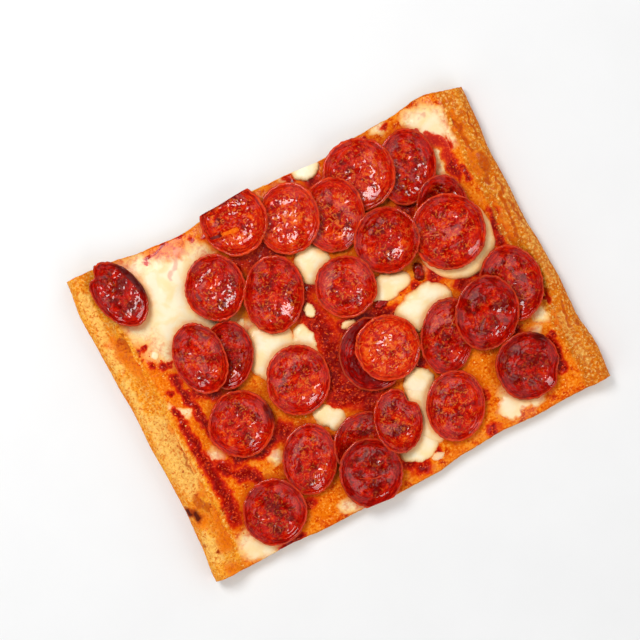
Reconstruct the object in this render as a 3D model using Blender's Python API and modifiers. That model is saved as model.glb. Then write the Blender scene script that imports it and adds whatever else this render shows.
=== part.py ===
"""A rectangular slice of Roman pizza with pepperoni.

The slice lies flat, crust underneath. Its two short ends are raised rims from the
edge of the tray, and its two long sides are knife cuts that show the layers: dough,
a thin bed of tomato sauce, melted mozzarella, and cupped slices of pepperoni on top.
X runs along the long side, Y across it, Z up, with the underside at z = 0.
"""
import math
from collections import namedtuple

import bmesh
import bpy
from mathutils import Vector, noise
from mathutils.bvhtree import BVHTree

MM = 0.001

# The slice
HALF_LENGTH = 131.5 * MM
HALF_WIDTH = 98.5 * MM
DOUGH_THICKNESS = 8.0 * MM
CRUST_CELLS = (36, 26)
END_CROWDING = 0.45
CUT_EDGE_ROUNDING = 1.5 * MM
BASE_INSET = 2.2 * MM
CRUMB_RAGGEDNESS = 1.0 * MM

# The raised rims at the two short ends
LEFT_RIM_HEIGHT = 16.5 * MM
LEFT_RIM_WIDTH = 24.0 * MM
RIGHT_RIM_HEIGHT = 15.0 * MM
RIGHT_RIM_WIDTH = 21.0 * MM
RIM_SHOULDER = 7.0 * MM
RIM_FOOT_SHARE = 0.42
RIM_BUMPS = 1.5 * MM

# How far each side strays outward from the straight rectangle, along its length, in mm
TOP_CUT = [1.5, 1.2, -2.2, -3.8, -1.0, 0.3, -0.4, -2.0, 1.0, 2.0, 5.0, -1.0]
BOTTOM_CUT = [2.5, 3.4, 2.6, 4.0, 3.6, 5.0, 4.6, 1.6, -0.2, 0.8, -0.2, -0.5]
LEFT_END = [1.5, -0.5, -1.4, -1.0, 0.0, -0.4, 0.8, 1.4, 2.2, 0.0]
RIGHT_END = [1.0, 2.2, -0.4, 0.4, -0.4, -2.0, -1.6, -2.4, -0.6, 0.0]

# The layers on the dough
GAP = 0.35 * MM
SAUCE_THICKNESS = 1.3 * MM
SAUCE_CELLS = (22, 16)
SAUCE_FROM_LEFT = 17.0 * MM
SAUCE_FROM_RIGHT = 14.0 * MM
SAUCE_RAGGEDNESS = 4.0 * MM
CUT_SETBACK = 0.6 * MM
CHEESE_LIP = 0.7 * MM
PEPPERONI_THICKNESS = 2.0 * MM
TOUCH_RADIUS = 3.2 * MM
LIFT_STEP = 0.25 * MM

# A disc's rings, from the middle of its top over the edge to the middle of its underside
RING_SHARES = [0.0, 0.45, 0.80, 1.0, 1.0, 0.80, 0.45, 0.0]
TOP_RINGS = 4
DISC_SEGMENTS = 16

Patch = namedtuple("Patch", "x y thickness radii")
Slice = namedtuple("Slice", "number x y half_width half_length turn cup")

# Pools of melted mozzarella: centre, thickness, and reach at equal steps of angle, in mm
MOZZARELLA = [
    Patch(-78, 62, 2.6, [37, 38, 38, 33, 38, 40, 38, 33, 38, 41, 46, 40]),
    Patch(-45, 9, 3.4, [20, 22, 17, 14, 12, 15, 22, 18]),
    Patch(4, 43, 3.0, [12, 11, 14, 12, 10, 12, 13, 11]),
    Patch(36, 10, 3.0, [18, 10, 9, 8, 11, 9, 8, 9]),
    Patch(52, -9, 4.0, [19, 15, 11, 12, 19, 17, 12, 18]),
    Patch(24, -67, 3.2, [8, 18, 21, 11, 8, 15, 21, 10]),
    Patch(102, 84, 2.2, [12, 14, 15, 14, 12, 13, 26, 13]),
    Patch(26, 96, 3.6, [9, 8, 6, 8, 9, 8, 7, 8]),
    Patch(86, 19, 3.6, [25, 24, 24, 23, 23, 24, 26, 26]),
    Patch(-101, -91, 2.2, [17, 14, 8, 8, 12, 13, 12, 15]),
    Patch(76, -88, 2.2, [18, 12, 9, 11, 16, 13, 10, 13]),
    Patch(-28, -44, 2.4, [9, 8, 9, 10, 9, 8, 9, 10]),
]

# Pepperoni from the lowest to the highest: centre, half sizes, the direction of the long
# axis in degrees, and how deep the slice has cupped in the oven
PEPPERONI = [
    Slice(6, 80.5, 69.0, 17.4, 22.5, 63, 4.0),
    Slice(5, 53.0, 78.0, 21.3, 22.0, 63, 3.5),
    Slice(4, 28.3, 63.3, 18.9, 22.0, 63, 2.5),
    Slice(3, 3.5, 73.6, 18.6, 21.4, 63, 2.5),
    Slice(2, -26.0, 88.0, 19.6, 21.8, 93, 6.5),
    Slice(9, 89.0, 39.0, 15.0, 18.0, 63, 2.0),
    Slice(8, 85.0, 23.3, 22.2, 22.4, 63, 3.5),
    Slice(7, 49.8, 35.5, 19.2, 19.5, 63, 4.5),
    Slice(14, -65.5, 17.4, 15.0, 20.4, 63, 3.0),
    Slice(10, -54.0, 56.5, 17.5, 19.8, 73, 5.0),
    Slice(13, -81.2, 23.0, 15.6, 21.7, 87, 5.5),
    Slice(18, 12.0, -21.5, 20.0, 22.0, 63, 3.0),
    Slice(17, 21.8, -22.3, 19.2, 19.6, 153, 1.5),
    Slice(20, 105.0, -21.4, 17.8, 22.6, 83, 3.0),
    Slice(21, 56.5, -32.2, 15.8, 22.8, 58, 3.0),
    Slice(19, 83.8, -30.5, 18.8, 22.0, 53, 4.0),
    Slice(23, 42.0, -71.4, 17.6, 20.9, 63, 3.5),
    Slice(24, -50.0, -60.4, 16.3, 21.1, 63, 4.0),
    Slice(26, -16.0, -68.6, 19.6, 20.2, 63, 2.5),
    Slice(25, -21.2, -84.0, 18.8, 20.8, 68, 6.5),
    Slice(27, 7.3, -63.8, 14.4, 18.7, 73, 4.0),
    Slice(1, -107.0, 79.3, 13.7, 22.0, 103, 4.5),
    Slice(11, -24.5, 37.2, 18.0, 23.0, 63, 3.0),
    Slice(12, 15.9, 21.8, 18.2, 18.3, 63, 4.5),
    Slice(15, -34.9, -15.0, 18.9, 21.0, 63, 4.5),
    Slice(16, -77.2, -23.0, 19.4, 19.9, 63, 5.0),
    Slice(22, 91.5, -69.7, 18.9, 20.2, 63, 4.0),
    Slice(28, -83.1, -79.0, 18.8, 19.6, 63, 4.0),
]

# Slices whose outline is bitten in: direction in degrees, share of the radius lost
NICKS = {1: (128, 0.16), 22: (-35, 0.10), 27: (30, 0.22)}
NICK_SPREAD = 24.0
OUTLINE_WOBBLE = 0.035
RIM_WAVE = 0.9 * MM
CUP_POWER = 2.6
OVERHANG = 2.0 * MM
RELAX_ROUNDS = 2

CRUST_COLOUR = (0.78, 0.40, 0.13)
SAUCE_COLOUR = (0.42, 0.03, 0.008)
CHEESE_COLOUR = (0.93, 0.80, 0.56)
PEPPERONI_COLOUR = (0.38, 0.03, 0.012)


def clear_scene():
    for thing in list(bpy.data.objects):
        bpy.data.objects.remove(thing, do_unlink=True)


def new_collection(name):
    collection = bpy.data.collections.new(name)
    bpy.context.scene.collection.children.link(collection)
    return collection


def principled(name, colour, roughness):
    material = bpy.data.materials.new(name)
    material.use_nodes = True
    shader = material.node_tree.nodes["Principled BSDF"]
    shader.inputs["Base Color"].default_value = (*colour, 1.0)
    shader.inputs["Roughness"].default_value = roughness
    shader.inputs["Metallic"].default_value = 0.0
    return material


def smoothstep(value):
    value = min(max(value, 0.0), 1.0)
    return value * value * (3.0 - 2.0 * value)


def along(samples, share):
    """Reads a row of evenly spaced samples at a share of its length, smoothly."""
    place = min(max(share, 0.0), 1.0) * (len(samples) - 1)
    index = min(int(place), len(samples) - 2)
    blend = smoothstep(place - index)
    return samples[index] * (1.0 - blend) + samples[index + 1] * blend


def around(samples, angle):
    """Reads a closed ring of samples at an angle, smoothly."""
    place = (angle / math.tau) % 1.0 * len(samples)
    index = int(place) % len(samples)
    blend = smoothstep(place - int(place))
    return samples[index] * (1.0 - blend) + samples[(index + 1) % len(samples)] * blend


def bumps(x, y, size, seed):
    """Smooth bumps of about one size, from -1 to 1, the same on each run."""
    return noise.noise(Vector((x / size, y / size, seed)))


def top_cut(x):
    return HALF_WIDTH + MM * along(TOP_CUT, 0.5 + 0.5 * x / HALF_LENGTH)


def bottom_cut(x):
    return -HALF_WIDTH - MM * along(BOTTOM_CUT, 0.5 + 0.5 * x / HALF_LENGTH)


def left_end(y):
    return -HALF_LENGTH - MM * along(LEFT_END, 0.5 + 0.5 * y / HALF_WIDTH)


def right_end(y):
    return HALF_LENGTH + MM * along(RIGHT_END, 0.5 + 0.5 * y / HALF_WIDTH)


def rim_rise(distance, height, width):
    """Height of a rim above the dough, at a distance in from its outer edge."""
    shoulder = min(distance / RIM_SHOULDER, 1.0)
    rounded = math.sqrt(max(0.0, 1.0 - (1.0 - shoulder) ** 2))
    outer = RIM_FOOT_SHARE + (1.0 - RIM_FOOT_SHARE) * rounded
    inner = 1.0 - smoothstep((distance - RIM_SHOULDER) / (width - RIM_SHOULDER))
    return height * outer * inner if distance < RIM_SHOULDER else height * inner


def crust_height(x, y):
    """Top of the dough: a nearly flat bed with a rounded, blistered rim at each end."""
    from_left = x - left_end(y)
    from_right = right_end(y) - x
    bed = DOUGH_THICKNESS + 0.5 * MM * bumps(x, y, 45 * MM, 3.0)
    left = rim_rise(from_left, LEFT_RIM_HEIGHT - DOUGH_THICKNESS, LEFT_RIM_WIDTH)
    right = rim_rise(from_right, RIGHT_RIM_HEIGHT - DOUGH_THICKNESS, RIGHT_RIM_WIDTH)
    foot = 1.0 - 0.45 * (1.0 - smoothstep(min(from_left, from_right) / (RIM_SHOULDER * 0.6)))
    on_rim = max(left, right) / (RIGHT_RIM_HEIGHT - DOUGH_THICKNESS)
    relief = bumps(x, y, 15 * MM, 7.0) + 0.6 * bumps(x, y, 7 * MM, 11.0)
    return bed * foot + left + right + RIM_BUMPS * relief * min(on_rim, 1.0)


def slice_point(u, v):
    """Maps a unit square, -1 to 1 each way, onto the slice's uneven rectangle."""
    crowded = u * (1.0 + END_CROWDING * (1.0 - u * u))
    x = crowded * HALF_LENGTH
    low = bottom_cut(x)
    high = top_cut(x)
    y = low + (high - low) * (v + 1.0) / 2.0
    side = left_end(y) if u < 0 else right_end(y)
    return x + (abs(side) - HALF_LENGTH) * math.copysign(u ** 4, u), y


def finish(name, mesh_builder, material, collection, closed=True):
    """Turns a bmesh into a named object; an open sheet keeps its faces upward."""
    if closed:
        bmesh.ops.recalc_face_normals(mesh_builder, faces=mesh_builder.faces)
    mesh = bpy.data.meshes.new(name)
    mesh_builder.to_mesh(mesh)
    mesh_builder.free()
    mesh.materials.append(material)
    mesh.shade_smooth()
    mesh.set_sharp_from_angle(angle=math.radians(50))
    thing = bpy.data.objects.new(name, mesh)
    collection.objects.link(thing)
    return thing


def grid(cells):
    built = bmesh.new()
    bmesh.ops.create_grid(built, x_segments=cells[0], y_segments=cells[1], size=1.0)
    return built


def wall_down(built, edges, move):
    """Extrudes an open rim of edges and moves the new vertices; returns the new rim."""
    made = bmesh.ops.extrude_edge_only(built, edges=edges)["geom"]
    for vertex in [item for item in made if isinstance(item, bmesh.types.BMVert)]:
        vertex.co = move(vertex.co)
    return [item for item in made
            if isinstance(item, bmesh.types.BMEdge) and len(item.link_faces) == 1]


def belly(point):
    """The middle of the crust's wall: bulging at the rims, torn crumb along the cuts."""
    tear = CRUMB_RAGGEDNESS * bumps(point.x, point.y, 9 * MM, 17.0)
    outward_x = 1.2 * MM * smoothstep((abs(point.x) - 0.95 * HALF_LENGTH) / (0.04 * HALF_LENGTH))
    return Vector((point.x + math.copysign(outward_x, point.x),
                   point.y + tear * math.copysign(1.0, point.y) * 0.6,
                   point.z * 0.5))


def base_edge(point):
    """The bottom edge of the crust, drawn in a little where the dough left the tray."""
    return Vector((point.x - math.copysign(BASE_INSET, point.x),
                   point.y - math.copysign(BASE_INSET * 0.3, point.y), 0.0))


def build_crust(material, collection):
    built = grid(CRUST_CELLS)
    for vertex in built.verts:
        x, y = slice_point(vertex.co.x, vertex.co.y)
        to_cut = min(top_cut(x) - y, y - bottom_cut(x))
        sag = CUT_EDGE_ROUNDING * (1.0 - smoothstep(to_cut / (5.0 * MM)))
        vertex.co = Vector((x, y, crust_height(x, y) - sag))
    rim = [edge for edge in built.edges if len(edge.link_faces) == 1]
    rim = wall_down(built, rim, belly)
    rim = wall_down(built, rim, base_edge)
    base = bmesh.ops.contextual_create(built, geom=rim)["faces"]
    bmesh.ops.poke(built, faces=base)
    return finish("crust", built, material, collection)


def tree_of(thing):
    """A search tree of an object's mesh as it is evaluated."""
    depsgraph = bpy.context.evaluated_depsgraph_get()
    return BVHTree.FromObject(thing, depsgraph)


def height_over(trees, x, y):
    """The highest surface below the sky at a place, or None beside the slice."""
    found = None
    for tree in trees:
        hit = tree.ray_cast(Vector((x, y, 1.0)), Vector((0.0, 0.0, -1.0)))[0]
        if hit is not None and (found is None or hit.z > found):
            found = hit.z
    return found


def support(trees, x, y, reach):
    """The highest surface within a small reach of a place, where a facet could touch it."""
    heights = [height_over(trees, x, y)]
    for ring in (0.5 * reach, reach):
        for step in range(8):
            angle = step * math.tau / 8
            heights.append(height_over(trees, x + ring * math.cos(angle), y + ring * math.sin(angle)))
    known = [height for height in heights if height is not None]
    return max(known) if known else DOUGH_THICKNESS


def build_sauce(material, collection, trees):
    """The bed of sauce: a thin sheet from rim to rim, open at both cuts."""
    built = grid(SAUCE_CELLS)
    for vertex in built.verts:
        u, v = vertex.co.x, vertex.co.y
        low, high = -HALF_WIDTH, HALF_WIDTH
        rough_y = low + (high - low) * (v + 1.0) / 2.0
        ragged = SAUCE_RAGGEDNESS * bumps(u, rough_y, 16 * MM, 23.0)
        left = left_end(rough_y) + SAUCE_FROM_LEFT + ragged
        right = right_end(rough_y) - SAUCE_FROM_RIGHT + ragged
        x = left + (right - left) * (u + 1.0) / 2.0
        low = bottom_cut(x) + CUT_SETBACK
        high = top_cut(x) - CUT_SETBACK
        y = low + (high - low) * (v + 1.0) / 2.0
        vertex.co = Vector((x, y, support(trees, x, y, TOUCH_RADIUS) + GAP))
    thing = finish("tomato_sauce", built, material, collection, closed=False)
    sheet = thing.modifiers.new("Thickness", "SOLIDIFY")
    sheet.thickness = SAUCE_THICKNESS
    sheet.offset = 1.0
    return thing


def disc_step(angle):
    return round(angle / math.tau * DISC_SEGMENTS) % DISC_SEGMENTS


def disc(segments, outline):
    """A closed disc from a UV sphere: its rings become the top, the edge and the underside.

    outline(angle, share) gives the place of a vertex in the plane. Returns the bmesh and,
    for each vertex, its share of the radius, its angle and whether it is on the top.
    """
    rings = len(RING_SHARES) - 1
    built = bmesh.new()
    bmesh.ops.create_uvsphere(built, u_segments=segments, v_segments=rings, radius=1.0)
    rows = []
    for vertex in built.verts:
        ring = round(math.acos(min(max(vertex.co.z, -1.0), 1.0)) / math.pi * rings)
        angle = math.atan2(vertex.co.y, vertex.co.x)
        share = RING_SHARES[ring]
        x, y = outline(angle, share)
        vertex.co = Vector((x, y, 0.0))
        rows.append((vertex, share, angle, ring < TOP_RINGS))
    return built, rows


def best_plane(points):
    """Least-squares plane z = a + b x + c y through points, about their mean."""
    count = len(points)
    mean = sum((Vector(point) for point in points), Vector()) / count
    xx = sum((p[0] - mean.x) ** 2 for p in points)
    yy = sum((p[1] - mean.y) ** 2 for p in points)
    xy = sum((p[0] - mean.x) * (p[1] - mean.y) for p in points)
    xz = sum((p[0] - mean.x) * (p[2] - mean.z) for p in points)
    yz = sum((p[1] - mean.y) * (p[2] - mean.z) for p in points)
    spread = max(xx * yy - xy * xy, 1e-18)
    slope_x = (xz * yy - yz * xy) / spread
    slope_y = (yz * xx - xz * xy) / spread
    return lambda x, y: mean.z + slope_x * (x - mean.x) + slope_y * (y - mean.y)


def lift_clear(built, trees):
    """Raises a piece in small steps until it crosses nothing below it."""
    built.normal_update()
    while any(BVHTree.FromBMesh(built).overlap(tree) for tree in trees):
        bmesh.ops.translate(built, vec=Vector((0.0, 0.0, LIFT_STEP)), verts=built.verts)


def inside_cuts(x, y, setback):
    """Keeps a place between the two knife cuts."""
    return min(max(y, bottom_cut(x) + setback), top_cut(x) - setback)


def build_mozzarella(number, patch, material, collection, trees):
    """A pool of melted cheese: flat underneath, domed on top, thin at its lip."""
    def outline(angle, share):
        reach = around(patch.radii, angle) * MM * share
        x = patch.x * MM + reach * math.cos(angle)
        y = patch.y * MM + reach * math.sin(angle)
        return x, inside_cuts(x, y, CUT_SETBACK)

    segments = 2 * len(patch.radii) if len(patch.radii) > 8 else DISC_SEGMENTS
    built, rows = disc(segments, outline)
    for vertex, share, angle, on_top in rows:
        x, y = vertex.co.x, vertex.co.y
        height = support(trees, x, y, TOUCH_RADIUS) + GAP
        if on_top:
            dome = math.sqrt(max(0.0, 1.0 - share ** 3))
            lumps = 1.0 + 0.35 * bumps(x, y, 12 * MM, 31.0 + number)
            height += CHEESE_LIP + (patch.thickness * MM - CHEESE_LIP) * dome * lumps
        vertex.co.z = height
    lift_clear(built, trees)
    return finish(f"mozzarella_{number:02d}", built, material, collection)


def nicked(number, angle):
    """Share of the radius that is left at an angle, below 1 where the edge is bitten in."""
    if number not in NICKS:
        return 1.0
    direction, depth = NICKS[number]
    away = abs((math.degrees(angle) - direction + 180.0) % 360.0 - 180.0)
    return 1.0 - depth * (1.0 - smoothstep(away / NICK_SPREAD))


def relaxed(lifts, least):
    """Evens out how far each part of a disc is pushed up, never below what it needs.

    Both are dicts by (ring, step). The middle, ring 0, holds the same value at every step.
    """
    for _ in range(RELAX_ROUNDS):
        fresh = {}
        for (ring, step), lift in lifts.items():
            near = [lifts[(ring, (step - 1) % DISC_SEGMENTS)],
                    lifts[(ring, (step + 1) % DISC_SEGMENTS)]]
            near += [lifts[(other, step)] for other in (ring - 1, ring + 1) if (other, step) in lifts]
            evened = 0.5 * lift + 0.5 * sum(near) / len(near)
            fresh[(ring, step)] = max(evened, least[(ring, step)])
        middle = max(fresh[(0, step)] for step in range(DISC_SEGMENTS))
        fresh.update({(0, step): middle for step in range(DISC_SEGMENTS)})
        lifts = fresh
    return lifts


def build_pepperoni(row, material, collection, trees):
    """A cupped slice of sausage that leans on whatever lies under it."""
    turn = math.radians(row.turn)

    def outline(angle, share):
        wobble = 1.0 + OUTLINE_WOBBLE * noise.noise(
            Vector((1.3 * math.cos(angle), 1.3 * math.sin(angle), 5.0 + row.number)))
        bitten = nicked(row.number, angle + turn) if share > 0.9 else 1.0
        reach = MM * share * wobble * bitten
        lengthwise = row.half_length * reach * math.cos(angle)
        crosswise = row.half_width * reach * math.sin(angle)
        x = row.x * MM + lengthwise * math.cos(turn) - crosswise * math.sin(turn)
        y = row.y * MM + lengthwise * math.sin(turn) + crosswise * math.cos(turn)
        return x, min(max(y, bottom_cut(x)), top_cut(x) + OVERHANG)

    def cup(share, angle):
        wave = RIM_WAVE * math.sin(2.0 * angle + row.number) * share ** 2
        return row.cup * MM * share ** CUP_POWER + wave

    built, rows = disc(DISC_SEGMENTS, outline)
    underside = []
    for vertex, share, angle, on_top in rows:
        if not on_top:
            x, y = vertex.co.x, vertex.co.y
            free = support(trees, x, y, TOUCH_RADIUS) + GAP - cup(share, angle)
            underside.append((vertex, share, angle, free))
    lean = best_plane([(vertex.co.x, vertex.co.y, free) for vertex, _, _, free in underside])

    least = {}
    for vertex, share, angle, free in underside:
        ring = RING_SHARES.index(share)
        steps = range(DISC_SEGMENTS) if ring == 0 else [disc_step(angle)]
        for step in steps:
            least[(ring, step)] = free - lean(vertex.co.x, vertex.co.y)
    lifts = relaxed({key: max(lift, 0.0) for key, lift in least.items()}, least)

    for vertex, share, angle, on_top in rows:
        lift = lifts[(RING_SHARES.index(share), disc_step(angle))]
        height = lean(vertex.co.x, vertex.co.y) + cup(share, angle) + lift
        vertex.co.z = height + (PEPPERONI_THICKNESS if on_top else 0.0)
    lift_clear(built, trees)
    return finish(f"pepperoni_{row.number:02d}", built, material, collection)


def build_slice():
    clear_scene()
    collection = new_collection("roman_pizza_slice")
    dough = principled("baked_crust", CRUST_COLOUR, 0.75)
    tomato = principled("tomato_sauce", SAUCE_COLOUR, 0.40)
    cheese = principled("melted_mozzarella", CHEESE_COLOUR, 0.35)
    sausage = principled("pepperoni", PEPPERONI_COLOUR, 0.30)
    trees = [tree_of(build_crust(dough, collection))]
    bpy.context.view_layer.update()
    trees.append(tree_of(build_sauce(tomato, collection, trees)))
    for number, patch in enumerate(MOZZARELLA, start=1):
        trees.append(tree_of(build_mozzarella(number, patch, cheese, collection, trees)))
    for row in PEPPERONI:
        trees.append(tree_of(build_pepperoni(row, sausage, collection, trees)))


build_slice()
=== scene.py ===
"""A rectangular slice of Roman pizza with pepperoni, dressed for its portrait.

The slice is put together in the order a baker does it: the dough with its two raised
ends, the bed of tomato and browned cheese, the pools of mozzarella, the pepperoni, the
small bits, and last the table and the light.
"""
import math

import bpy
import numpy as np
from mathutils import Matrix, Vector, noise
from mathutils.bvhtree import BVHTree


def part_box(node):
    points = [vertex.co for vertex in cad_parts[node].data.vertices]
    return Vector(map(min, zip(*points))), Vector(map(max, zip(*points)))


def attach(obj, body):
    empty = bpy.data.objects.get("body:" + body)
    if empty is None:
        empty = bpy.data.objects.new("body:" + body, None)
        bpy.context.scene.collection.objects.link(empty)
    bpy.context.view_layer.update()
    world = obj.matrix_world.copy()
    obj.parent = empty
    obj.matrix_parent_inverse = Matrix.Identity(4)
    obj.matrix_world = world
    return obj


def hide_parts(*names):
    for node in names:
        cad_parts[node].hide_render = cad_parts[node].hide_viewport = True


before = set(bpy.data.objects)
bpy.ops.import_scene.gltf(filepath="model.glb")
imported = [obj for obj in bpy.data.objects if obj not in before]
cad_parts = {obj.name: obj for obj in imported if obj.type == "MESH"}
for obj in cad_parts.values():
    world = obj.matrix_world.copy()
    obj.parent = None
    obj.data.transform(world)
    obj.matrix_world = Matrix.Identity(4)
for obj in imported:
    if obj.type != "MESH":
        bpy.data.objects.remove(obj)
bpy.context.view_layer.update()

# The crust: a slab of risen dough, baked in an oiled tray and cut with a knife.
# Its short ends stood against the tray, so they are raised, blistered and deep gold.
# Its long sides are fresh cuts that show pale crumb under a thin browned skin.

MM = 0.001
CRUST_COLUMNS = 250
CRUST_ROWS = 270
RIM_CROWDING = 0.45
WALL_ROWS = 12
HALF_LENGTH = 131.5 * MM
HALF_WIDTH = 98.5 * MM

# How far each edge bows outward, in millimetres, at even steps from left to right along
# the two cuts and from near to far along the two ends.
FAR_CUT = [1.5, 1.2, -2.2, -3.8, -1.0, 0.3, -0.4, -2.0, 1.0, 2.0, 5.0, -1.0]
NEAR_CUT = [2.5, 3.4, 2.6, 4.0, 3.6, 5.0, 4.6, 1.6, -0.2, 0.8, -0.2, -0.5]
LEFT_END = [1.5, -0.5, -1.4, -1.0, 0.0, -0.4, 0.8, 1.4, 2.2, 0.0]
RIGHT_END = [1.0, 2.2, -0.4, 0.4, -0.4, -2.0, -1.6, -2.4, -0.6, 0.0]
DOUGH_BED = 8.0 * MM
# How far from a slice its oil stain reaches, and with it the painted warm shade beside the slice.
GREASE_AND_SHADE_REACH = 6.5 * MM
RIM_RISE = 7.5 * MM
SKIN_INSET = 0.988
# The wall under an edge, in millimetres: how far an end bulges, and how far an end and a
# cut draw in at the foot.
END_BULGE = 1.4
END_TUCK = 2.2
CUT_TUCK = 0.7


class Value:
    """A socket of a node tree that can be used in plain arithmetic."""

    def __init__(self, graph, socket):
        self.graph = graph
        self.socket = socket

    def beside(self, name):
        """Another output of the same node."""
        return Value(self.graph, self.socket.node.outputs[name])

    def math(self, operation, first, second):
        return self.graph.node("ShaderNodeMath", {"operation": operation}, {0: first, 1: second})

    def __add__(self, other):
        return self.math("ADD", self, other)

    def __sub__(self, other):
        return self.math("SUBTRACT", self, other)

    def __rsub__(self, other):
        return self.math("SUBTRACT", other, self)

    def __mul__(self, other):
        return self.math("MULTIPLY", self, other)

    def above(self, other):
        return self.math("MAXIMUM", self, other)

    def ridges(self):
        """Folds noise from 0 to 1 into narrow crests, 1 on the crest."""
        return 1.0 - self.math("ABSOLUTE", self * 2.0 - 1.0, 0.0)

    __radd__ = __add__
    __rmul__ = __mul__

    def step(self, low, high):
        """Eases from 0 to 1 as the value goes from low to high."""
        return self.graph.node("ShaderNodeMapRange", {"interpolation_type": "SMOOTHSTEP"},
                               {"Value": self, "From Min": low, "From Max": high})


class Graph:
    """A tree of nodes, which this makes one at a time."""

    def __init__(self, tree):
        self.tree = tree

    def node(self, kind, settings, inputs, output=0):
        made = self.tree.nodes.new(kind)
        for key, value in settings.items():
            if key == "stops":
                self.set_stops(made.color_ramp.elements, value)
            else:
                setattr(made, key, value)
        for key, value in inputs.items():
            if isinstance(value, Value):
                self.tree.links.new(value.socket, made.inputs[key])
            else:
                made.inputs[key].default_value = value
        return Value(self, made.outputs[output]) if made.outputs else None

    @staticmethod
    def set_stops(steps, stops):
        """Gives a colour ramp its stops: place from 0 to 1, red, green, blue."""
        while len(steps) < len(stops):
            steps.new(1.0)
        for step, (place, *seen) in zip(steps, stops):
            step.position = place
            step.color = srgb(*seen)


class Recipe(Graph):
    """One material, written as expressions on the values of its nodes."""

    def __init__(self, name):
        self.material = bpy.data.materials.new(name)
        self.material.use_nodes = True
        super().__init__(self.material.node_tree)
        self.tree.nodes.clear()
        self.place = self.node("ShaderNodeTexCoord", {}, {}, "Object")

    def noise(self, size, detail=3.0, distortion=0.0, where=None, rough=0.55):
        """Noise from 0 to 1 with blotches of about that size in millimetres."""
        return self.node("ShaderNodeTexNoise", {}, {
            "Vector": where or self.place, "Scale": 1.0 / (size * MM), "Detail": detail,
            "Roughness": rough, "Distortion": distortion})

    def cells(self, size):
        """Distance to the nearest of scattered points, that size apart in millimetres."""
        return self.node("ShaderNodeTexVoronoi", {}, {"Vector": self.place, "Scale": 1.0 / (size * MM)})

    def attribute(self, name, kind="Fac"):
        return self.node("ShaderNodeAttribute", {"attribute_name": name}, {}, kind)

    def ramp(self, factor, stops):
        """A colour that runs through the given ones."""
        return self.node("ShaderNodeValToRGB", {"stops": stops}, {0: factor})

    def mix(self, factor, first, second):
        """A colour between two, or the second laid over the first."""
        return self.node("ShaderNodeMix", {"data_type": "RGBA"}, {0: factor, 6: first, 7: second}, 2)

    def coats(self, colour, *layers):
        """Lays colours over a first one: the mask, then red, green, blue or a made colour."""
        for mask, *seen in layers:
            colour = self.mix(mask, colour, srgb(*seen) if len(seen) == 3 else seen[0])
        return colour

    def bump(self, height, distance, strength=1.0):
        return self.node("ShaderNodeBump", {}, {
            "Height": height, "Distance": distance, "Strength": strength})

    def finish(self, **inputs):
        """Feeds the shader; a word in lower case stands for the socket of that name."""
        named = {key.replace("_", " ").title().replace("Ior", "IOR"): value
                 for key, value in inputs.items()}
        shader = self.node("ShaderNodeBsdfPrincipled", {}, named)
        self.node("ShaderNodeOutputMaterial", {}, {"Surface": shader})
        return self.material


def srgb(red, green, blue):
    """A colour as seen on a screen, 0 to 255, in the linear values that a shader takes."""
    seen = [channel / 255 for channel in (red, green, blue)]
    return tuple(((c + 0.055) / 1.055) ** 2.4 if c > 0.04 else c / 12.92 for c in seen) + (1.0,)


def ease(value):
    """Smoothstep on a number or an array: 0 below 0, 1 above 1."""
    value = np.clip(value, 0.0, 1.0)
    return value * value * (3.0 - 2.0 * value)


def grain(x, y, size, seed):
    """Smooth bumps from -1 to 1 over arrays of places, of about one size."""
    spots = zip((x / size).flat, (y / size).flat)
    return np.array([noise.noise((a, b, seed)) for a, b in spots]).reshape(x.shape)


def bubbles(x, y, size, share, seed):
    """Domes from 0 to 1 in a share of cells of about one size, like blisters in dough."""
    heights = np.zeros(x.size)
    for index, (a, b) in enumerate(zip((x / size).flat, (y / size).flat)):
        distances, centres = noise.voronoi((a, b, seed))
        if noise.cell(centres[0] * 7.31) < 2.0 * share - 1.0:
            heights[index] = max(0.0, 1.0 - (distances[0] / 0.5) ** 2)
    return heights.reshape(x.shape)


def blob(x, y, centre_x, centre_y, reach):
    """A soft spot: 1 in the middle, 0 beyond its reach. All in millimetres."""
    away = np.hypot(x / MM - centre_x, y / MM - centre_y)
    return ease(1.0 - away / reach)


def stroke(x, y, ends, reach):
    """A soft line between two places, given as (x, y, x, y). All in millimetres."""
    x0, y0, x1, y1 = ends
    along_x, along_y = x1 - x0, y1 - y0
    share = ((x / MM - x0) * along_x + (y / MM - y0) * along_y) / (along_x ** 2 + along_y ** 2)
    share = np.clip(share, 0.0, 1.0)
    away = np.hypot(x / MM - x0 - share * along_x, y / MM - y0 - share * along_y)
    return ease(1.0 - away / reach)


def solid_tree(*names, height=1.0):
    """One search tree of solids of the frame, with their heights scaled."""
    places, faces = [], []
    for name in names:
        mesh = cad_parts[name].data
        faces += [[len(places) + vertex for vertex in face.vertices] for face in mesh.polygons]
        places += [Vector((vertex.co.x, vertex.co.y, height * vertex.co.z)) for vertex in mesh.vertices]
    return BVHTree.FromPolygons(places, faces)


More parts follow.
